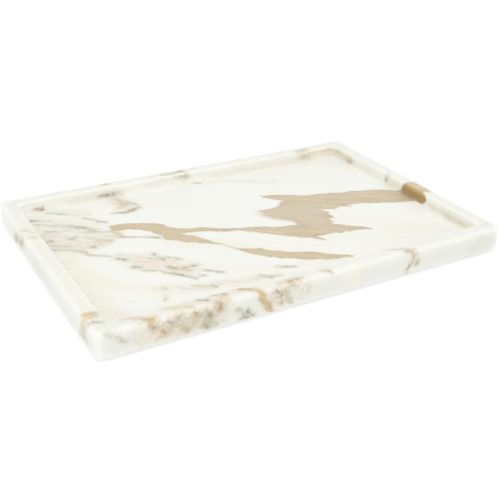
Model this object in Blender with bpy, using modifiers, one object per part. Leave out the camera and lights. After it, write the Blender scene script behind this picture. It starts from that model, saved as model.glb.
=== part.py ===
# A dresser vanity tray: one milled block of veined stone standing on four moulded rubber feet.
# Metres, +Z up. X is the long side, Y the short side. The origin is on the table, under the middle of the tray.

import math

import bmesh
import bpy

# Driving dimensions
TRAY_LENGTH = 0.300  # X
TRAY_WIDTH = 0.200  # Y
STONE_HEIGHT = 0.0175
CORNER_RADIUS = 0.004  # the four upright outer edges
TOP_EASE = 0.003  # polished outer edge of the rim
BOTTOM_EASE = 0.0015  # polished lower edge

RIM_WIDTH = 0.011  # from the outer face to the recess wall
RECESS_DEPTH = 0.008  # from the rim down to the recess floor
RECESS_CORNER = 0.008  # radius left by the milling tool
FLOOR_FILLET = 0.003  # round between the recess wall and its floor
MOUTH_EASE = 0.002  # polished inner edge of the rim

FOOT_RADIUS = 0.007
FOOT_HEIGHT = 0.002
FOOT_EASE = 0.0006  # round on the foot's lower edge
FOOT_INSET = 0.028  # from the tray's sides to a foot's centre
FOOT_STEPS = 32  # facets round a foot

GAP = 0.0003  # air between the foot and the stone, where the glue is
CUTTER_HEADROOM = 0.010  # how far the cutter stands above the rim

STONE_BASE = FOOT_HEIGHT + GAP
STONE_TOP = STONE_BASE + STONE_HEIGHT
RECESS_FLOOR = STONE_TOP - RECESS_DEPTH


def clear_scene():
    for old in list(bpy.data.objects):
        bpy.data.objects.remove(old, do_unlink=True)


def new_collection(name):
    group = bpy.data.collections.new(name)
    bpy.context.scene.collection.children.link(group)
    return group


def principled(name, color, roughness, metallic=0.0):
    material = bpy.data.materials.new(name)
    material.use_nodes = True
    shader = material.node_tree.nodes["Principled BSDF"]
    shader.inputs["Base Color"].default_value = (*color, 1.0)
    shader.inputs["Roughness"].default_value = roughness
    shader.inputs["Metallic"].default_value = metallic
    return material


def place(name, mesh, group, location, material=None):
    item = bpy.data.objects.new(name, mesh)
    item.location = location
    group.objects.link(item)
    if material:
        mesh.materials.append(material)
    return item


def shade_round(mesh, angle=30.0):
    mesh.shade_smooth()
    mesh.set_sharp_from_angle(angle=math.radians(angle))


def upright_edges(bm):
    return [e for e in bm.edges if abs(e.verts[0].co.z - e.verts[1].co.z) > 1e-6]


def level_edges(bm, height):
    return [e for e in bm.edges if all(abs(v.co.z - height) < 1e-6 for v in e.verts)]


def round_edges(bm, edges, radius, segments):
    bmesh.ops.bevel(bm, geom=edges, offset=radius, segments=segments, profile=0.5, affect="EDGES")


def rounded_block(name, size, corner, corner_steps, top=0.0, bottom=0.0, edge_steps=3):
    """A box standing on Z = 0 with rounded upright edges, and rounded upper and lower edges where given."""
    bm = bmesh.new()
    bmesh.ops.create_cube(bm, size=1.0)
    bmesh.ops.translate(bm, verts=bm.verts, vec=(0.0, 0.0, 0.5))
    bmesh.ops.scale(bm, verts=bm.verts, vec=size)
    round_edges(bm, upright_edges(bm), corner, corner_steps)
    if top:
        round_edges(bm, level_edges(bm, size[2]), top, edge_steps)
    if bottom:
        round_edges(bm, level_edges(bm, 0.0), bottom, edge_steps)
    mesh = bpy.data.meshes.new(name)
    bm.to_mesh(mesh)
    bm.free()
    return mesh


def make_recess_cutter(group):
    size = (
        TRAY_LENGTH - 2 * RIM_WIDTH,
        TRAY_WIDTH - 2 * RIM_WIDTH,
        RECESS_DEPTH + CUTTER_HEADROOM,
    )
    mesh = rounded_block("recess_cutter", size, RECESS_CORNER, 8, bottom=FLOOR_FILLET, edge_steps=4)
    cutter = place("recess_cutter", mesh, group, (0.0, 0.0, RECESS_FLOOR))
    cutter.hide_render = True
    cutter.display_type = "WIRE"
    return cutter


def make_stone_body(group, cutter):
    stone = principled("veined_stone", (0.83, 0.81, 0.73), 0.2)
    size = (TRAY_LENGTH, TRAY_WIDTH, STONE_HEIGHT)
    mesh = rounded_block("stone_tray", size, CORNER_RADIUS, 6, top=TOP_EASE, bottom=BOTTOM_EASE, edge_steps=4)
    shade_round(mesh)
    tray = place("stone_tray", mesh, group, (0.0, 0.0, STONE_BASE), stone)
    recess = tray.modifiers.new("recess", "BOOLEAN")
    recess.operation = "DIFFERENCE"
    recess.solver = "EXACT"
    recess.object = cutter
    mouth = tray.modifiers.new("mouth", "BEVEL")
    mouth.limit_method = "ANGLE"
    mouth.angle_limit = math.radians(60.0)
    mouth.width = MOUTH_EASE
    mouth.segments = 4
    return tray


def make_foot_mesh():
    """A turned disc: its profile runs from the top's middle, down the outer side, to the bottom's middle."""
    turns = 3
    corner = [math.radians(90.0 * i / turns) for i in range(turns + 1)]
    ease_middle = FOOT_RADIUS - FOOT_EASE
    profile = [(0.0, FOOT_HEIGHT), (FOOT_RADIUS, FOOT_HEIGHT)]
    profile += [(ease_middle + FOOT_EASE * math.cos(a), FOOT_EASE * (1 - math.sin(a))) for a in corner]
    profile.append((0.0, 0.0))
    bm = bmesh.new()
    points = [bm.verts.new((x, 0.0, z)) for x, z in profile]
    for a, b in zip(points, points[1:]):
        bm.edges.new((a, b))
    mesh = bpy.data.meshes.new("rubber_foot")
    bm.to_mesh(mesh)
    bm.free()
    return mesh


def make_feet(group):
    rubber = principled("moulded_rubber", (0.55, 0.55, 0.54), 0.6)
    mesh = make_foot_mesh()
    mesh.materials.append(rubber)
    reach_x = TRAY_LENGTH / 2 - FOOT_INSET
    reach_y = TRAY_WIDTH / 2 - FOOT_INSET
    sides = {"front": -reach_y, "back": reach_y}
    ends = {"left": -reach_x, "right": reach_x}
    for side, y in sides.items():
        for end, x in ends.items():
            foot = place(f"rubber_foot_{side}_{end}", mesh, group, (x, y, 0.0))
            turned = foot.modifiers.new("turned", "SCREW")
            turned.steps = FOOT_STEPS
            turned.render_steps = FOOT_STEPS
            turned.use_merge_vertices = True
            turned.merge_threshold = 0.00001
            turned.use_smooth_shade = True


def main():
    clear_scene()
    parts = new_collection("dresser_vanity_tray")
    cutters = new_collection("cutters")
    cutter = make_recess_cutter(cutters)
    make_stone_body(parts, cutter)
    make_feet(parts)


main()
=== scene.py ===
import math

import bmesh
import bpy
from mathutils import Matrix, Vector


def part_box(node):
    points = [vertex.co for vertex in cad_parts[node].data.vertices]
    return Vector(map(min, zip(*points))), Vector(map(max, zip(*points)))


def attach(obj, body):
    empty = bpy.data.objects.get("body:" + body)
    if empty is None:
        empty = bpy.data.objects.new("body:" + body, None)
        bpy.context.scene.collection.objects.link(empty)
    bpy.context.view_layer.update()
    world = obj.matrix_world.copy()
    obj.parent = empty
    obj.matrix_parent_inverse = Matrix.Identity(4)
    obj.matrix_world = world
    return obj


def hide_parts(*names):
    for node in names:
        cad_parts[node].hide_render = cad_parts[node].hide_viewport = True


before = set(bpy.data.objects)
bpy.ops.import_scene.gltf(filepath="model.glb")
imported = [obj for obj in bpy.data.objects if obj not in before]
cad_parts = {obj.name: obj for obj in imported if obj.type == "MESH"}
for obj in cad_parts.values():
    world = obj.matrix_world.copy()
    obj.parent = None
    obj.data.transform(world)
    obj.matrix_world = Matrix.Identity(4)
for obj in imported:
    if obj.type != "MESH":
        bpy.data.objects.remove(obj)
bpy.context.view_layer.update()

mm = 0.001


def newObject(name, mesh):
    item = bpy.data.objects.new(name, mesh)
    bpy.context.scene.collection.objects.link(item)
    return item


def newMaterial(name, roughness):
    material = bpy.data.materials.new(name)
    material.use_nodes = True
    shader = material.node_tree.nodes["Principled BSDF"]
    shader.inputs["Roughness"].default_value = roughness
    return material, shader


mixSockets = {"first": 6, "second": 7, "result": 2}  # colour sockets of a Mix node, whose names repeat
noiseMean = 0.5


# The node helpers take numbers, tuples or sockets as values. All but this one give back an output socket.
def plug(tree, socket, value):
    if isinstance(value, bpy.types.NodeSocket):
        tree.links.new(value, socket)
    else:
        socket.default_value = value


def maths(tree, operation, *values):
    item = tree.nodes.new("ShaderNodeMath")
    item.operation = operation
    for socket, value in zip(item.inputs, values):
        plug(tree, socket, value)
    return item.outputs[0]


def vectors(tree, operation, *values):
    item = tree.nodes.new("ShaderNodeVectorMath")
    item.operation = operation
    for socket, value in zip(item.inputs, values):
        plug(tree, socket, value)
    return item.outputs["Value" if operation in ("DOT_PRODUCT", "DISTANCE") else "Vector"]


def scaled(tree, vector, factor):
    item = tree.nodes.new("ShaderNodeVectorMath")
    item.operation = "SCALE"
    plug(tree, item.inputs["Vector"], vector)
    plug(tree, item.inputs["Scale"], factor)
    return item.outputs["Vector"]


def noise(tree, position, settings, output="Fac"):
    item = tree.nodes.new("ShaderNodeTexNoise")
    plug(tree, item.inputs["Vector"], position)
    for name, value in zip(("Scale", "Detail", "Roughness"), settings):
        plug(tree, item.inputs[name], value)
    return item.outputs[output]


def band(tree, value, start, end, bottom=0.0, top=1.0):
    # smooth step from bottom at start to top at end, whichever of the two is higher
    item = tree.nodes.new("ShaderNodeMapRange")
    item.interpolation_type = "SMOOTHSTEP"
    plug(tree, item.inputs["Value"], value)
    for name, limit in (("From Min", start), ("From Max", end), ("To Min", bottom), ("To Max", top)):
        plug(tree, item.inputs[name], limit)
    return item.outputs["Result"]


def blend(tree, factor, first, second):
    item = tree.nodes.new("ShaderNodeMix")
    item.data_type = "RGBA"
    plug(tree, item.inputs["Factor"], factor)
    plug(tree, item.inputs[mixSockets["first"]], first)
    plug(tree, item.inputs[mixSockets["second"]], second)
    return item.outputs[mixSockets["result"]]


def newGroup(name, inputs, outputs):
    tree = bpy.data.node_groups.new(name, "ShaderNodeTree")
    for label, kind in inputs:
        tree.interface.new_socket(name=label, in_out="INPUT", socket_type=kind)
    for label, kind in outputs:
        tree.interface.new_socket(name=label, in_out="OUTPUT", socket_type=kind)
    return tree, tree.nodes.new("NodeGroupInput"), tree.nodes.new("NodeGroupOutput")


def useGroup(tree, group, values):
    item = tree.nodes.new("ShaderNodeGroup")
    item.node_tree = group
    for name, value in values.items():
        plug(tree, item.inputs[name], value)
    return item


stone = {
    "cornerRadius": 4 * mm,  # upright outer edges
    "topEase": 3 * mm,  # outer edge of the rim
    "bottomEase": 1.5 * mm,
    "rimWidth": 11 * mm,
    "recessDepth": 8 * mm,
    "recessCorner": 8 * mm,
    "floorFillet": 3 * mm,
    "mouthEase": 2 * mm,
    "easeSteps": 8,  # facets across a rounded edge
    "cornerSteps": 14,  # facets round an upright edge
    "flatWeight": 100,  # keeps the shading of the flat faces flat up to their rounded edges
}


def roundedRing(bm, halfX, halfY, radius, z):
    ring = []
    steps = stone["cornerSteps"]
    for quarter, (signX, signY) in enumerate(((1, 1), (-1, 1), (-1, -1), (1, -1))):
        middleX = signX * (halfX - radius)
        middleY = signY * (halfY - radius)
        for i in range(steps + 1):
            angle = math.radians(90) * (quarter + i / steps)
            x = middleX + radius * math.cos(angle)
            y = middleY + radius * math.sin(angle)
            ring.append(bm.verts.new((x, y, z)))
    return ring


def quarterRound(radius, startAngle, endAngle):
    steps = stone["easeSteps"]
    for i in range(steps + 1):
        angle = math.radians(startAngle + (endAngle - startAngle) * i / steps)
        yield radius * math.cos(angle), radius * math.sin(angle)


def blockProfile(top, bottom):
    # (inset from the outer face, height, corner radius) from the underside round the rim to the recess floor
    rows = []
    ease = stone["bottomEase"]
    for across, up in quarterRound(ease, 270, 180):
        inset = ease + across
        rows.append((inset, bottom + ease + up, stone["cornerRadius"] - inset))
    ease = stone["topEase"]
    for across, up in quarterRound(ease, 180, 90):
        inset = ease + across
        rows.append((inset, top - ease + up, stone["cornerRadius"] - inset))
    wall = stone["rimWidth"]
    ease = stone["mouthEase"]
    for across, up in quarterRound(ease, 90, 0):
        inset = wall - ease + across
        rows.append((inset, top - ease + up, stone["recessCorner"] + wall - inset))
    ease = stone["floorFillet"]
    floor = top - stone["recessDepth"]
    for across, up in quarterRound(ease, 180, 270):
        inset = wall + ease + across
        rows.append((inset, floor + ease + up, stone["recessCorner"] + wall - inset))
    return rows


def makeStoneTray(material):
    low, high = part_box("stone_tray")
    halfX = (high[0] - low[0]) / 2
    halfY = (high[1] - low[1]) / 2
    bm = bmesh.new()
    rings = []
    for inset, z, radius in blockProfile(high[2], low[2]):
        rings.append(roundedRing(bm, halfX - inset, halfY - inset, radius, z))
    count = len(rings[0])
    for lower, upper in zip(rings, rings[1:]):
        for i in range(count):
            j = (i + 1) % count
            bm.faces.new((lower[i], lower[j], upper[j], upper[i]))
    bm.faces.new(reversed(rings[0]))
    bm.faces.new(rings[-1])
    bmesh.ops.recalc_face_normals(bm, faces=bm.faces)
    mesh = bpy.data.meshes.new("stoneTray")
    bm.to_mesh(mesh)
    bm.free()
    mesh.shade_smooth()
    mesh.materials.append(material)
    tray = newObject("stoneTray", mesh)
    smooth = tray.modifiers.new("flatNormals", "WEIGHTED_NORMAL")
    smooth.weight = stone["flatWeight"]
    smooth.keep_sharp = False
    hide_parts("stone_tray")
    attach(tray, "root")
    return tray


marble = {
    "grainAngle": -36,  # degrees from +X, the run of the veins seen from above
    "grainStretch": (0.12, 1, 0.45),  # how fast patterns change along the run, across it and in height
    "lean": 0.42,  # sideways shift of a vein for each unit of depth
    "leanHeight": 9.5,  # mm from the underside to where a leaning vein is in its listed place
    "lightGain": 0.835,  # albedo that shows as a given tone under the studio light
    "softDepth": (14 * mm, 13.5 * mm, 13 * mm),
    "roughness": 0.33,
    "polish": (0.3, 0.7, 0.31, 0.36),  # mottle from and to, roughness from and to

    # tones under the studio light, 0 to 255
    "white": (244, 245, 240),
    # partly painted shade: the rim's own creamier tone, darkened to even the open rim with the shaded recess
    # floor and to dim the highlight on the recess mouth
    "rimToneAndShade": (234, 235, 228),
    # partly painted shade: the outer faces' own tone, darkened against the light they get from the floor
    "faceToneAndShade": (234, 235, 229),
    # painted light: lightens the foot of the recess walls and the floor along them, where the recess is in
    # shade
    "wallPaintedLight": (253, 253, 247),
    "cream": (242, 240, 228),
    "greyGreen": (234, 234, 223),
    "pinkCream": (236, 229, 216),
    "tan": (216, 203, 173),
    "tanLight": (221, 209, 184),
    "tanDeep": (204, 185, 146),
    "tanRose": (215, 202, 180),
    "stain": (234, 228, 208),
    "gold": (214, 195, 156),
    "goldDeep": (200, 173, 120),
    "brown": (190, 171, 140),
    "brownDeep": (172, 150, 116),
    "umber": (170, 161, 140),
    "seam": (206, 192, 163),
    "wallBrown": (192, 165, 112),
    "grey": (200, 197, 183),
    # painted shade: soft grey shading on the outer faces
    "shade": (228, 230, 220),
    "beige": (233, 227, 212),
    "pebbleGrey": (219, 214, 197),
    "paleTan": (222, 209, 182),
    "olive": (212, 209, 190),
    "oliveDeep": (196, 193, 170),

    # noises: scale for each mm, detail, roughness
    "broadNoise": (0.06, 2.0, 0.5),
    "fineNoise": (0.35, 3.0, 0.6),
    "streakNoise": (0.38, 3.0, 0.65),
    "mottleNoise": (0.25, 4.0, 0.6),
    "clumpNoise": (0.22, 3.0, 0.6),
    "tintNoise": (0.05, 2.0, 0.5),
    "threadNoise": (0.16, 3.0, 0.6),
    "fleckNoise": (0.5, 2.0, 0.55),
    "crumbleNoise": (0.45, 3.0, 0.6),
    "pebbleScale": 0.16,

    # reach in mm of the broad wobble, the fine one and the slide along the grain
    "veinBroad": (7, 7, 3),
    "veinFine": (2.2, 2.2, 1.5),
    "veinSlide": (13, 13, 0),
    "markBroad": (3, 3, 2),
    "markFine": (4, 4, 3.5),
    "markSlide": (6, 6, 0),
    "crumbleReach": 4.0,

    # places in mm: inset from the outer faces or height from the underside, from and to
    # the painted light at the foot of the recess walls lies within these two
    "wallLightInset": (24, 13),
    "wallLightHeight": (15.5, 12.5),
    "rimInset": (11.4, 9.2),
    "faceInset": (2.2, 0.2),

    # edges in mm outside a stroke, where it starts and where it is full, then the weakest and strongest cover
    "hazeEdge": (7, -5),
    "cloudEdge": (6, -4),
    "pebbleEdge": (3, -4, 0.0, 0.6),
    "softMarkEdge": (2.2, -1.4, 0.0, 0.85),
    "sharpMarkEdge": (1.2, -0.9, 0.0, 0.85),
    "sharpMarkHalo": (3.4, -0.5, 0.0, 0.3),
    "goldEdge": (1.4, -1.2),
    "rosyEdge": (8, -4),
    "fuzzyEdge": (5, -2, 1.3, 5.0),  # here the half-width of the tan vein's own edge
    "wallPatchEdge": (0.8, -0.8),
    "outlineInset": 1.2,
    "outlineEdge": (1.6, 0.2),

    # pattern values from and to, then the weakest and strongest cover
    "creamDrift": (0.45, 0.8, 0.0, 0.7),
    "hazePatches": (0.3, 0.6, 0.35, 1.0),
    "threadBand": (0.03, 0.004),
    "fleckBand": (0.64, 0.74),
    "seamBand": (0.16, 0.02),
    "seamBreaks": (0.4, 0.62),
    "outlineBreaks": (0.42, 0.6, 0.0, 0.5),
    "softMarkTone": (0.35, 0.65),
    "sharpMarkTone": (0.4, 0.6),
    "goldMottle": (0.3, 0.7),
    "tanMottle": (0.25, 0.75),
    "threadCover": (0.45, 0.05),  # cover in the cloudy parts, added to the cover everywhere
    "fleckCover": 0.4,
    "rosyCover": 0.8,
}

# Veins that run down through the block: (x, y, half-width) in mm, listed along each vein.
tanVeins = (
    ((36, 36, 2.2), (48, 27.5, 5.8), (62, 15, 10.8), (80, 7, 12), (100, 3.5, 12.4), (120, -5, 12.2),
     (135, -12.5, 10.5), (152, -20.5, 9.5)),
    ((23, 9, 6.2), (40, 3.5, 11), (50, 10, 13), (49, -5, 13.5), (45, -25, 12)),
    ((28, 2, 7), (42, -8, 10)),
    ((-14, -4, 0.8), (0, -11, 3.2), (15, -20, 6.5), (30, -28, 10), (48, -33, 9), (76, -47, 1)),
    ((30, -35, 5), (36, -46, 1)),
    ((58, -8, 6), (62, -20, 1.5)),
    ((66, -2, 5), (78, -3, 4), (84, -9, 1)),
)
goldVeins = (
    ((-86, 36, 5), (-72, 32, 4.8), (-60, 22.5, 7.2), (-53, 12, 7), (-45, 11, 3.6), (-30, 4.5, 3.2),
     (-19, -2, 1.9), (-7, -8, 1.7), (10, -14, 4)),
    ((-55, 6, 6), (-45, -4, 5.5), (-38, -13, 2.6), (-31, -22, 0.4), (-26, -29, 0.4), (-18, -38, 3),
     (-8, -48, 5), (10, -60, 5), (25, -69, 4.5), (38, -76, 1.5)),
)

# Marks placed in the solid: (x, y, z, half-width) in mm, with z up from the underside of the stone.
hazes = {
    "cream": (
        ((-130, -22, 9, 8), (-110, -48, 9, 4), (-92, -58, 9, 0)),
        ((20, 88, 11, 0), (110, 86, 11, 2)),
        ((84, -56, 9, 7), (116, -68, 9, 8)),
        ((-100, 89, 14, 2), (-60, 89, 14, 0)),
        ((138, 8, 12, 6), (138, -2, 12, 5)),
        ((23, -100, 10, 5), (24, -100, 8, 4)),
        ((-60, -4, 9, 4), (-20, -26, 9, 6)),
        ((139, 82, 11, 3), (139, 40, 11, 1), (139, 24, 11, 0)),
        ((139, -36, 11, 3), (139, -86, 11, 3)),
        ((40, 100, 9, 4), (70, 100, 8, 6)),
        ((4, -70, 9, 0), (18, -76, 9, 3), (28, -80, 9, 2)),
        ((150, 40, 9, 5), (150, 62, 8, 6)),
        ((-136, -76, 9, 12), (-132, 0, 9, 10), (-132, 70, 9, 10)),
    ),
    "greyGreen": (
        ((-134, 40, 9, 15), (-104, 28, 9, 12)),
        ((-120, 60, 9, 6), (-98, 44, 9, 6)),
        ((-118, 80, 9, 3), (-100, 68, 9, 6)),
        ((10, 84, 9, -1), (60, 58, 9, 1)),
    ),
    # painted shade: soft grey shading low on the outer faces
    "shade": (
        ((130, -100, 4, 10), (150, -90, 4, 8)),
        ((-150, -10, 8, 5), (-150, 14, 8, 6)),
        ((-90, 100, 9, 5), (-64, 100, 8, 6)),
    ),
    "beige": (
        ((-134, 30, 9, 6), (-116, 18, 9, 7), (-100, 20, 9, 4)),
        ((-134, 44, 9, 2), (-124, 44, 9, 3)),
        ((-120, -97, 10, 7), (-102, -97, 10, 7), (-76, -97, 9, 7)),
        ((-34, -98, 10, 6), (-24, -98, 10, 5)),
        ((-150, 40, 12, 5), (-150, 54, 8, 5)),
        ((-104, -92, 17, 2), (-64, -92, 17, 2)),
    ),
    "pebbleGrey": (
        ((-107, -100, 6, 2), (-96, -100, 9, 3), (-80, -100, 7, 1)),
        ((-68, -98, 16, 0), (-76, -100, 12, 2)),
    ),
    "stain": (
        ((104, 89.5, 13.5, 1), (122, 90, 14, 2), (139, 88, 14, 1.5), (139.5, 64, 13, 0)),
        ((138.5, -46, 9, -2), (138.5, -66, 9.5, 0), (138.5, -85, 9, -2)),
    ),
    "pinkCream": (
        ((-98, -8, 9, 4), (-84, -22, 9, 10), (-68, -42, 9, 8)),
        ((-88, 27, 9, 4), (-100, 20, 9, 4)),
        ((-66, 80, 9, 5), (-65, 64, 9, 7)),
        ((-94, -58, 9, 2), (-72, -66, 9, 3), (-20, -76, 9, 1)),
        ((-34, 92, 15.5, 1), (-6, 93, 15.5, 2)),
        ((-14, -100, 14, 2), (-12, -100, 10, 2)),
        ((-110, -84, 12, 4), (-90, -84, 12, 3)),
    ),
}
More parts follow.
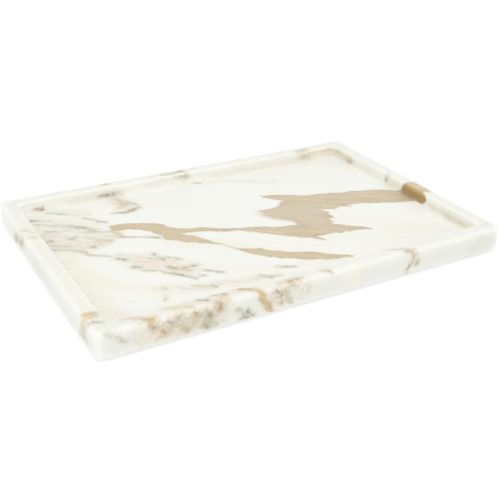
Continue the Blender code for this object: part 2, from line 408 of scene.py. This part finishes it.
marks = {
    "olive": (
        ((-103, 39, 9.5, 2), (-101, 36, 9.5, 1.6)),
        ((-118, 33, 9.5, 2.2), (-114, 34, 9.5, 1.2)),
        ((-134, 66, 9.5, 0.6), (-118, 54, 9.5, 0.8), (-110, 49, 9.5, 1.3), (-103, 44, 9.5, 1.3),
         (-98, 34, 9.5, 0.8), (-90, 31, 9.5, 0.8)),
        ((-120, 80, 9.5, 0.6), (-112, 74, 9.5, 1)),
        ((-100, 61, 9.5, 0.8), (-94, 54, 9.5, 0.8)),
        ((-136, 23, 9.5, 0.9), (-127, 18, 9.5, 0.9), (-118, 12, 9.5, 1), (-115, 4, 9.5, 1.4),
         (-104, -4, 9.5, 0.6)),
        ((-94, -30, 9.5, 0.8), (-84, -36, 9.5, 0.9), (-76, -45, 9.5, 1.1), (-67, -56, 9.5, 0.9)),
        ((-87, 21, 9.5, 1.6), (-84, 18, 9.5, 1.2), (-74, 14, 9.5, 0.5), (-58, 3, 9.5, 0.5)),
        ((-72, -20, 9.5, 0.6), (-65, -27, 9.5, 1)),
        ((-60, 74, 9.5, 1.5), (-57, 66, 9.5, 1)),
        ((-150, 46, 17.5, 0.6), (-144, 42, 17.5, 0.4)),
        ((-150, 33, 17.5, 0.5), (-143, 30, 17.5, 0.4)),
        ((-23, 93, 17, 1.8), (-17, 92, 16.5, 1.8), (-8, 94, 17.3, 1.4)),
        ((-150, 38, 12, 2), (-150, 47, 7, 3)),
        ((-150, 52, 9, 2.5), (-150, 60, 5, 3)),
        ((52, -90, 17.5, 0.6), (64, -95, 17.5, 0.9), (71, -99, 17.5, 1)),
        ((-144, -100, 17, 0.8), (-136, -100, 12, 0.9), (-132, -100, 8, 0.7)),
        ((-61, -100, 9, 1.6), (-60, -100, 8, 1.2)),
        ((-28, -100, 13, 1), (-25, -100, 4, 1.5)),
        ((-105, -100, 10, 0.8), (-99, -100, 14, 0.6)),
        ((139, 16, 12, 1.4), (139, 14, 16, 1.2)),
        ((-150, -86, 6, 1.4), (-150, -74, 4.5, 1.6)),
        ((-89, -100, 15, 0.8), (-87, -100, 12, 1)),
        ((-82, -100, 14, 1), (-84, -100, 4, 2), (-76, -100, 3, 1.4)),
        ((-15, -65, 9.5, 0.3), (-3, -71, 9.5, 0.6)),
        ((-30, -70, 9.5, 0.2), (-18, -77, 9.5, 0.4)),
        ((100, 91, 17.5, 1.5), (112, 92, 17.5, 1.5)),
        ((-72, 100, 15, 0.6), (-68, 100, 9, 1.2), (-70, 100, 3, 0.8)),
        ((-16, 100, 16, 0.8), (-10, 100, 10, 1), (-4, 100, 4, 1.2)),
        ((108, 100, 16, 0.6), (116, 100, 9, 1), (119, 100, 3, 0.6)),
        ((150, 62, 16, 0.3), (150, 58, 9, 0.8), (150, 50, 3, 0.8)),
    ),
    "paleTan": (
        ((-72, 65, 9.5, 0.6), (-64, 70, 9.5, 2.2), (-66, 80, 9.5, 2)),
        ((-132, 71, 9.5, 0), (-123, 67, 9.5, 0.6)),
        ((-103, 22, 9.5, 1.4), (-96, 18, 9.5, 1.8)),
        ((-88, 28, 9.5, 2.2), (-86, 22, 9.5, 1.6)),
        ((-91, -57, 9.5, 0.6), (-90, -59, 9.5, 0.8)),
        ((-94, -66, 9.5, 0.5), (-95, -71, 9.5, 1)),
        ((-72, -64, 9.5, 0.5), (-61, -70, 9.5, 0.6)),
        ((-75, -36, 9.5, 1.6), (-66, -44, 9.5, 1.6)),
        ((-137, -88, 17.5, 0.6), (-126, -93, 17.5, 1.2), (-119, -97, 17.5, 1.2)),
        ((-106, -91, 17.5, 0.9), (-90, -97, 17.5, 1.4)),
        ((-148, -79, 17.5, 3.6), (-143, -79, 17.5, 3.6)),
        ((-150, -81, 14, 4), (-150, -79, 8, 3.6)),
        ((-150, 38, 14, 0.7), (-150, 50, 10, 0.7)),
        ((-114, -100, 4, 0.3), (-108, -100, 8, 0.6)),
        ((-92, -100, 13, 1), (-90, -100, 9, 2)),
        ((106, 89.5, 14, -0.6), (122, 89.5, 14.5, -0.2), (138, 88.5, 14, 0), (139, 66, 13, -0.4)),
        ((138.8, -44, 10.5, -0.9), (138.8, -62, 10.5, -0.4), (138.8, -86, 10, -0.8)),
        ((75, -100, 8, 1.4), (76, -100, 5, 0.8)),
        ((-32, -97, 17.5, 1), (-16, -97, 17.5, 1)),
        ((-10, 100, 12, 0.4), (0, 100, 6, 1.2)),
        ((112, 100, 12, 0.3), (124, 100, 6, 0.8)),
        ((-70, -96, 17.5, 1), (-76, -100, 15, 2)),
    ),
    "gold": (
        ((-127, 88, 10.5, 0.3), (-122, 88, 10, 0.9)),
        ((-72, 89, 11, 0.4), (-68, 89, 11, 0.8)),
        ((-120, -98, 17.5, 0.8), (-116, -99.5, 16.5, 2.4)),
        ((-62, -90, 17.5, 0.8), (-54, -94, 17.5, 1.8), (-47, -98, 17.5, 1.5), (-45, -100, 14, 2.5),
         (-42, -100, 8, 2.2), (-38, -100, 1, 2)),
        ((-96, -100, 6, 1.5), (-94, -100, 4, 1.3)),
        ((-148, -77, 17.5, 0.8), (-143, -78, 17.5, 1)),
        ((-111, -100, 8.5, 0.9), (-109, -100, 7, 1.1)),
        ((68, -98, 17.2, 0), (73, -100, 14, 0)),
        ((0, -95, 17.5, 0.4), (5, -98, 17.5, 0.7)),
        ((-30, -100, 16, 0.6), (-31, -100, 5, 0.7)),
        ((-70, -100, 16, 0.8), (-68, -98, 17.2, 0.8)),
    ),
    "brown": (
        ((-124.5, 88, 10.5, 0.1), (-123, 88, 10, 0.5)),
        ((-77, 89, 12, 0.4), (-70, 89, 11, 0.6), (-61, 88, 11, 0)),
        ((-14, 89.5, 15.5, 0.3), (-4, 89.5, 14.5, 0.3)),
        ((-78, 60, 9.5, 0.4), (-69, 57, 9.5, 1.2), (-62, 59, 9.5, 1.7), (-57, 61, 9.5, 0.5)),
        ((-117, -100, 13, 1), (-115, -100, 11, 1)),
        ((-106, -100, 14, 0.6), (-104, -100, 12, 0.5)),
        ((-101, -100, 15.5, 0.5), (-98, -100, 15.5, 0.5)),
        ((-84, -92, 17.5, 0.8), (-79, -95, 17.5, 1)),
        ((-89, -100, 15, 0.6), (-88, -100, 12, 0.6)),
        ((-80, -100, 12, 1), (-79, -100, 9, 1)),
        ((-83, -100, 5, 0.7), (-82, -100, 2, 0.6)),
        ((-74, -99, 16, 1.2), (-73, -100, 13, 1.2)),
        ((-25, -97, 17.5, 0.7), (-19, -97, 17.5, 0.7)),
        ((65, -99, 17.3, 0.6), (71.5, -100, 15, 0.6), (71, -100, 10, 0.6), (67.5, -100, 4, 0.7),
         (66, -100, 1, 0.6)),
        ((105, 89.5, 12, 0.2), (111, 89.5, 11.5, 0.4)),
        ((139, 63, 11, 0.3), (138.5, 67, 10.5, 0.5)),
        ((-150, -86, 17, 0.5), (-141, -89, 17.5, 0.4)),
        ((4, -97, 17.3, 0.5), (6, -99, 17, 0.5)),
    ),
    "umber": (
        ((-134, 73, 9.5, 1.6), (-131, 71, 9.5, 0.6)),
        ((-92, 51, 9.5, 1.1), (-88, 48, 9.5, 0.9)),
        ((-110, 15, 9.5, 0.9), (-109, 14.5, 9.5, 0.8)),
        ((-96, -24, 9.5, 1.4), (-92, -26, 9.5, 0.7)),
        ((-77, -12, 9.5, 0.9), (-76.5, -14, 9.5, 0.9)),
        ((-77, -19, 9.5, 0.5), (-75, -22, 9.5, 1.1)),
        ((-76, -34, 9.5, 0.5), (-72, -37, 9.5, 1)),
        ((-67, -39, 9.5, 0.7), (-59, -39.5, 9.5, 0.5)),
        ((-76, -44, 9.5, 0.9), (-73, -48, 9.5, 0.7)),
        ((-63, -53, 9.5, 0.4), (-60, -55, 9.5, 0.5)),
        ((-57, -49, 9.5, 0.5), (-48, -57, 9.5, 0.7)),
        ((-73, 13, 9.5, 0.4), (-65, 8, 9.5, 0.6)),
        ((-102, -8, 9.5, 0.4), (-96, -12, 9.5, 0.8)),
        ((-111, 49, 9.5, 0.4), (-104, 45, 9.5, 0.7)),
        ((-134, 36, 9.5, 0.5), (-131, 35, 9.5, 0.8)),
        ((-130, 50, 9.5, 0.3), (-126, 49, 9.5, 0.5)),
        ((-62, -67, 9.5, 0.1), (-60, -70, 9.5, 0.4)),
        ((-71, 95, 17.5, 1), (-69, 94, 17.5, 0.7)),
        ((-9, 94, 17.5, 0.9), (-5, 93, 17.5, 0.7)),
        ((-75, -91, 17.5, 0.4), (-66, -94, 17.5, 0.6)),
        ((-35, -100, 15, 0.7), (-33, -100, 13, 0.9)),
        ((-25, -100, 15.5, 0.4), (-21, -100, 15, 0.5)),
        ((74, -100, 7, 0.5), (74, -100, 6, 0.5)),
        ((-60, -100, 1.5, 0.9), (-55, -100, 6.5, 0.6), (-51, -100, 1.5, 0.9)),
        ((-57, -100, 2.5, 1.4), (-54, -100, 2, 1.4)),
        ((-150, 40, 12, 0.3), (-150, 46, 8, 0.8)),
        ((-150, 54, 8, 0.3), (-150, 60, 4, 0.8)),
        ((-80, -100, 11, 0.7), (-79, -100, 8, 0.7)),
        ((-12, -66, 9.5, 0.2), (-7, -69, 9.5, 0.5)),
        ((-28, -72, 9.5, 0.1), (-24, -76, 9.5, 0.3)),
        ((0, 85, 9.5, 0.5), (4, 82, 9.5, 0.9)),
    ),
}
softMarks = {"olive": "oliveDeep", "paleTan": "tan"}  # each mark's tone and the deeper one it breaks into
sharpMarks = {"gold": "goldDeep", "brown": "brownDeep", "umber": "umber"}
cloudyHazes = ("greyGreen", "beige", "pinkCream")  # the ones that carry threads and flecks
pebbled = (((-113, -100, 9, 5), (-76, -100, 9, 8)), ((-34, -100, 12, 3), (-28, -100, 12, 3)))
rosyPart = (((24, 8, 9, 6), (46, 2, 9, 8), (46, -18, 9, 8)),)
fuzzyPart = (((14, 16, 9, 3), (18, 4, 9, 3), (32, -10, 9, 1)),)
wallPatch = (((139.5, -9, 13.4, 4.4), (139.5, -28.5, 13.2, 4.4)),)


def display(name):
    # linear albedo for a tone named in the marble dictionary
    linear = [(c / 255 + 0.055) / 1.055 for c in marble[name]]
    return (*[marble["lightGain"] * c ** 2.4 for c in linear], 1)


def strokeGroup():
    tree, given, result = newGroup(
        "veinStroke",
        (("Position", "NodeSocketVector"), ("Start", "NodeSocketVector"), ("Run", "NodeSocketVector"),
         ("Pull", "NodeSocketVector"), ("Half Width", "NodeSocketFloat"), ("Flare", "NodeSocketFloat")),
        (("Distance", "NodeSocketFloat"),),
    )
    offset = vectors(tree, "SUBTRACT", given.outputs["Position"], given.outputs["Start"])
    along = vectors(tree, "DOT_PRODUCT", offset, given.outputs["Pull"])
    along = maths(tree, "MAXIMUM", maths(tree, "MINIMUM", along, 1.0), 0.0)
    nearest = scaled(tree, given.outputs["Run"], along)
    width = maths(tree, "MULTIPLY_ADD", along, given.outputs["Flare"], given.outputs["Half Width"])
    away = vectors(tree, "DISTANCE", offset, nearest)
    plug(tree, result.inputs["Distance"], maths(tree, "SUBTRACT", away, width))
    return tree


def placeOf(point):
    # a vein's point without its half-width, at height 0 where it has no height
    return Vector((*point[:-1], 0)[:3])


def veinDistance(tree, group, position, veins):
    # signed distance in mm to the nearest of the veins
    nearest = None
    for vein in veins:
        for first, second in zip(vein, vein[1:]):
            start = placeOf(first)
            run = placeOf(second) - start
            stroke = useGroup(tree, group, {
                "Position": position,
                "Start": start,
                "Run": run,
                "Pull": run / run.length_squared,
                "Half Width": first[-1],
                "Flare": second[-1] - first[-1],
            }).outputs["Distance"]
            nearest = stroke if nearest is None else maths(tree, "MINIMUM", nearest, stroke)
    return nearest


def stonePlaces(tree, low):
    # positions in mm from the middle of the underside: plain, turned to the grain, and with wandering edges
    coordinates = tree.nodes.new("ShaderNodeTexCoord").outputs["Object"]
    solid = scaled(tree, vectors(tree, "SUBTRACT", coordinates, (0, 0, low[2])), 1 / mm)
    angle = math.radians(marble["grainAngle"])
    turn = tree.nodes.new("ShaderNodeVectorRotate")
    turn.rotation_type = "Z_AXIS"
    plug(tree, turn.inputs["Vector"], solid)
    plug(tree, turn.inputs["Angle"], -angle)
    grain = vectors(tree, "MULTIPLY", turn.outputs["Vector"], marble["grainStretch"])

    middle = (noiseMean, noiseMean, noiseMean)
    broad = vectors(tree, "SUBTRACT", noise(tree, solid, marble["broadNoise"], "Color"), middle)
    fine = vectors(tree, "SUBTRACT", noise(tree, solid, marble["fineNoise"], "Color"), middle)
    streak = maths(tree, "SUBTRACT", noise(tree, grain, marble["streakNoise"]), noiseMean)
    slide = scaled(tree, (math.cos(angle), math.sin(angle), 0), streak)

    bent = vectors(tree, "MULTIPLY_ADD", broad, marble["veinBroad"], solid)
    bent = vectors(tree, "MULTIPLY_ADD", fine, marble["veinFine"], bent)
    part = tree.nodes.new("ShaderNodeSeparateXYZ")
    plug(tree, part.inputs[0], vectors(tree, "MULTIPLY_ADD", slide, marble["veinSlide"], bent))
    depth = maths(tree, "SUBTRACT", part.outputs["Z"], marble["leanHeight"])
    plan = tree.nodes.new("ShaderNodeCombineXYZ")
    leaning = maths(tree, "MULTIPLY_ADD", depth, marble["lean"], part.outputs["X"])
    plug(tree, plan.inputs["X"], leaning)
    plug(tree, plan.inputs["Y"], part.outputs["Y"])

    local = vectors(tree, "MULTIPLY_ADD", broad, marble["markBroad"], solid)
    local = vectors(tree, "MULTIPLY_ADD", fine, marble["markFine"], local)
    local = vectors(tree, "MULTIPLY_ADD", slide, marble["markSlide"], local)
    return {"solid": solid, "grain": grain, "bent": bent, "plan": plan.outputs["Vector"], "local": local}


def plainStone(tree, place, high):
    # white with cream drifts; the rim and outer faces toned down, partly their own creamier tone and partly
    # painted shade; and painted light on the foot of the recess walls and the floor along them
    tint = noise(tree, place["grain"], marble["tintNoise"])
    color = blend(tree, band(tree, tint, *marble["creamDrift"]), display("white"), display("cream"))
    height = tree.nodes.new("ShaderNodeSeparateXYZ")
    plug(tree, height.inputs[0], place["solid"])
    edge = tree.nodes.new("ShaderNodeSeparateXYZ")
    corner = (high[0] / mm, high[1] / mm, 0)
    plug(tree, edge.inputs[0], vectors(tree, "SUBTRACT", corner, vectors(tree, "ABSOLUTE", place["solid"])))
    inset = maths(tree, "MINIMUM", edge.outputs["X"], edge.outputs["Y"])
    # painted light at the foot of the recess walls and on the floor along them
    wallLightPlan = band(tree, inset, *marble["wallLightInset"])
    foot = maths(tree, "MULTIPLY", wallLightPlan, band(tree, height.outputs["Z"], *marble["wallLightHeight"]))
    color = blend(tree, foot, color, display("wallPaintedLight"))
    # the rim, then the outer faces, toned down: partly their own tone and partly painted shade
    color = blend(tree, band(tree, inset, *marble["rimInset"]), color, display("rimToneAndShade"))
    return blend(tree, band(tree, inset, *marble["faceInset"]), color, display("faceToneAndShade"))


def addHazes(tree, group, place, patchy, color):
    # soft clouds of tone, and a mask of the cloudy ones
    cloudGap = None
    for name, veins in hazes.items():
        gap = veinDistance(tree, group, place["bent"], veins)
        cover = maths(tree, "MULTIPLY", band(tree, gap, *marble["hazeEdge"]), patchy)
        color = blend(tree, cover, color, display(name))
        if name in cloudyHazes:
            cloudGap = gap if cloudGap is None else maths(tree, "MINIMUM", cloudGap, gap)
    return color, band(tree, cloudGap, *marble["cloudEdge"])


def addThreads(tree, place, cloudy, color):
    # a faint net of grey threads and short flecks, thickest in the cloudy parts
    drift = noise(tree, place["grain"], marble["threadNoise"])
    thread = maths(tree, "ABSOLUTE", maths(tree, "SUBTRACT", drift, noiseMean))
    thread = band(tree, thread, *marble["threadBand"])
    cover = maths(tree, "MULTIPLY", thread, maths(tree, "MULTIPLY_ADD", cloudy, *marble["threadCover"]))
    color = blend(tree, cover, color, display("grey"))
    fleck = band(tree, noise(tree, place["grain"], marble["fleckNoise"]), *marble["fleckBand"])
    cover = maths(tree, "MULTIPLY", maths(tree, "MULTIPLY", fleck, cloudy), marble["fleckCover"])
    return blend(tree, cover, color, display("umber"))


def addPebbles(tree, group, place, clump, color):
    # broken net of seams round the pebbly front corner
    pebble = tree.nodes.new("ShaderNodeTexVoronoi")
    pebble.feature = "DISTANCE_TO_EDGE"
    plug(tree, pebble.inputs["Vector"], place["local"])
    plug(tree, pebble.inputs["Scale"], marble["pebbleScale"])
    seam = band(tree, pebble.outputs["Distance"], *marble["seamBand"])
    seam = maths(tree, "MULTIPLY", seam, band(tree, clump, *marble["seamBreaks"]))
    corner = band(tree, veinDistance(tree, group, place["solid"], pebbled), *marble["pebbleEdge"])
    return blend(tree, maths(tree, "MULTIPLY", seam, corner), color, display("seam"))


def addVeins(tree, group, place, mottle, clump, color):
    # the gold and tan veins through the block, with a broken dark outline
    goldGap = veinDistance(tree, group, place["plan"], goldVeins)
    goldColor = blend(tree, band(tree, mottle, *marble["goldMottle"]), display("gold"), display("tan"))
    color = blend(tree, band(tree, goldGap, *marble["goldEdge"]), color, goldColor)
    tanGap = veinDistance(tree, group, place["plan"], tanVeins)
    tanColor = blend(tree, band(tree, mottle, *marble["tanMottle"]), display("tanDeep"), display("tanLight"))
    rosy = band(tree, veinDistance(tree, group, place["bent"], rosyPart), *marble["rosyEdge"])
    rosy = maths(tree, "MULTIPLY", rosy, marble["rosyCover"])
    tanColor = blend(tree, rosy, tanColor, display("tanRose"))
    soft = band(tree, veinDistance(tree, group, place["bent"], fuzzyPart), *marble["fuzzyEdge"])
    color = blend(tree, band(tree, tanGap, soft, maths(tree, "MULTIPLY", soft, -1.0)), color, tanColor)

    outline = maths(tree, "ADD", maths(tree, "MINIMUM", tanGap, goldGap), marble["outlineInset"])
    outline = band(tree, maths(tree, "ABSOLUTE", outline), *marble["outlineEdge"])
    outline = maths(tree, "MULTIPLY", outline, band(tree, clump, *marble["outlineBreaks"]))
    color = blend(tree, outline, color, display("umber"))
    wall = band(tree, veinDistance(tree, group, place["local"], wallPatch), *marble["wallPatchEdge"])
    return blend(tree, wall, color, display("wallBrown"))


def crumbledGap(tree, group, place, crumble, name):
    return maths(tree, "ADD", veinDistance(tree, group, place["local"], marks[name]), crumble)


def addSoftMarks(tree, group, place, clump, crumble, color):
    for name, deeper in softMarks.items():
        gap = crumbledGap(tree, group, place, crumble, name)
        tone = blend(tree, band(tree, clump, *marble["softMarkTone"]), display(deeper), display(name))
        color = blend(tree, band(tree, gap, *marble["softMarkEdge"]), color, tone)
    return color


def addSharpMarks(tree, group, place, clump, crumble, color):
    for name, deeper in sharpMarks.items():
        gap = crumbledGap(tree, group, place, crumble, name)
        tone = blend(tree, band(tree, clump, *marble["sharpMarkTone"]), display(deeper), display(name))
        core = band(tree, gap, *marble["sharpMarkEdge"])
        cover = maths(tree, "MAXIMUM", core, band(tree, gap, *marble["sharpMarkHalo"]))
        color = blend(tree, cover, color, tone)
    return color


def stoneMaterial():
    material, shader = newMaterial("veinedStone", marble["roughness"])
    tree = material.node_tree
    low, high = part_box("stone_tray")
    place = stonePlaces(tree, low)
    group = strokeGroup()
    mottle = noise(tree, place["grain"], marble["mottleNoise"])
    clump = noise(tree, place["local"], marble["clumpNoise"])
    patchy = band(tree, clump, *marble["hazePatches"])

    color = plainStone(tree, place, high)
    color, cloudy = addHazes(tree, group, place, patchy, color)
    color = addThreads(tree, place, cloudy, color)
    color = addPebbles(tree, group, place, clump, color)
    crumble = maths(tree, "SUBTRACT", noise(tree, place["local"], marble["crumbleNoise"]), noiseMean)
    crumble = maths(tree, "MULTIPLY", crumble, marble["crumbleReach"])
    color = addSoftMarks(tree, group, place, clump, crumble, color)
    color = addVeins(tree, group, place, mottle, clump, color)
    color = addSharpMarks(tree, group, place, clump, crumble, color)

    plug(tree, shader.inputs["Base Color"], color)
    plug(tree, shader.inputs["Roughness"], band(tree, mottle, *marble["polish"]))
    shader.inputs["Subsurface Weight"].default_value = 1.0
    shader.inputs["Subsurface Radius"].default_value = marble["softDepth"]
    shader.inputs["Subsurface Scale"].default_value = 1.0
    return material


rubber = {
    "color": (0.62, 0.62, 0.6),
    "duskShare": 0.86,  # brightness of the darkest grit
    "roughness": 0.55,
    "roughnessSpread": 0.08,
    "gritNoise": (900.0, 2.0, 0.6),  # scale for each metre, detail, roughness
    "gritBand": (0.3, 0.7),
}


def rubberMaterial():
    material, shader = newMaterial("mouldedRubber", rubber["roughness"])
    tree = material.node_tree
    coordinates = tree.nodes.new("ShaderNodeTexCoord").outputs["Object"]
    grit = noise(tree, coordinates, rubber["gritNoise"])
    smoothest = rubber["roughness"] - rubber["roughnessSpread"]
    roughest = rubber["roughness"] + rubber["roughnessSpread"]
    plug(tree, shader.inputs["Roughness"], band(tree, grit, *rubber["gritBand"], smoothest, roughest))
    dusk = [c * rubber["duskShare"] for c in rubber["color"]]
    tone = blend(tree, band(tree, grit, *rubber["gritBand"]), (*dusk, 1), (*rubber["color"], 1))
    plug(tree, shader.inputs["Base Color"], tone)
    return material


def dressFeet(material):
    for name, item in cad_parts.items():
        if name.startswith("rubber_foot"):
            item.data.materials.clear()
            item.data.materials.append(material)


view = {
    "azimuth": -30.3,  # degrees
    "elevation": 27.3,
    "roll": 1.476,
    "distance": 575.5 * mm,
    "target": (-8.36 * mm, -21.33 * mm, 2.3 * mm),
    "lens": 59.25,  # both in the camera's own mm
    "sensorWidth": 36,
    "nearest": 10 * mm,
}


def makeCamera():
    azimuth = math.radians(view["azimuth"])
    elevation = math.radians(view["elevation"])
    level = math.cos(elevation)
    back = Vector((math.sin(azimuth) * level, -math.cos(azimuth) * level, math.sin(elevation)))
    right = Vector((0, 0, 1)).cross(back).normalized()
    up = back.cross(right)
    rollCos = math.cos(math.radians(view["roll"]))
    rollSin = math.sin(math.radians(view["roll"]))
    turn = Matrix((rollCos * right + rollSin * up, rollCos * up - rollSin * right, back)).transposed()
    data = bpy.data.cameras.new("camera")
    data.lens = view["lens"]
    data.sensor_width = view["sensorWidth"]
    data.clip_start = view["nearest"]
    camera = newObject("camera", data)
    place = Vector(view["target"]) + back * view["distance"]
    camera.matrix_world = Matrix.Translation(place) @ turn.to_4x4()
    bpy.context.scene.camera = camera


studio = {
    "floorSize": 6.0,
    "floorColor": (0.62, 0.62, 0.62),
    "floorRoughness": 0.9,
    "floorGlow": 0.43,  # keeps the floor white and thins the shadow at the foot of the tray
    "sky": (1.0, 1.0, 1.0),  # also the tone of the floor's glow
    "skyStrength": 0.99,
    "keySize": 1.6,
    "keyPower": 7.0,
    "keyFrom": (-0.4, -0.75, 1.3),
}


def makeFloor():
    half = studio["floorSize"] / 2
    bm = bmesh.new()
    bmesh.ops.create_grid(bm, x_segments=1, y_segments=1, size=half)
    mesh = bpy.data.meshes.new("studioFloor")
    bm.to_mesh(mesh)
    bm.free()
    material, shader = newMaterial("studioFloor", studio["floorRoughness"])
    shader.inputs["Base Color"].default_value = (*studio["floorColor"], 1)
    shader.inputs["Specular IOR Level"].default_value = 0
    shader.inputs["Emission Color"].default_value = (*studio["sky"], 1)
    shader.inputs["Emission Strength"].default_value = studio["floorGlow"]
    mesh.materials.append(material)
    newObject("studioFloor", mesh)


def makeLight():
    world = bpy.data.worlds.new("studioSky")
    world.use_nodes = True
    sky = world.node_tree.nodes["Background"]
    sky.inputs["Color"].default_value = (*studio["sky"], 1)
    sky.inputs["Strength"].default_value = studio["skyStrength"]
    bpy.context.scene.world = world
    lamp = bpy.data.lights.new("keySoftbox", "AREA")
    lamp.shape = "SQUARE"
    lamp.size = studio["keySize"]
    lamp.energy = studio["keyPower"]
    item = newObject("keySoftbox", lamp)
    item.location = studio["keyFrom"]
    item.rotation_euler = Vector(studio["keyFrom"]).to_track_quat("Z", "Y").to_euler()


bpy.context.scene.view_settings.view_transform = "Standard"
makeCamera()
makeFloor()
makeLight()
print("camera, floor and light made")
makeStoneTray(stoneMaterial())
print("stone made")
dressFeet(rubberMaterial())
print("feet dressed")
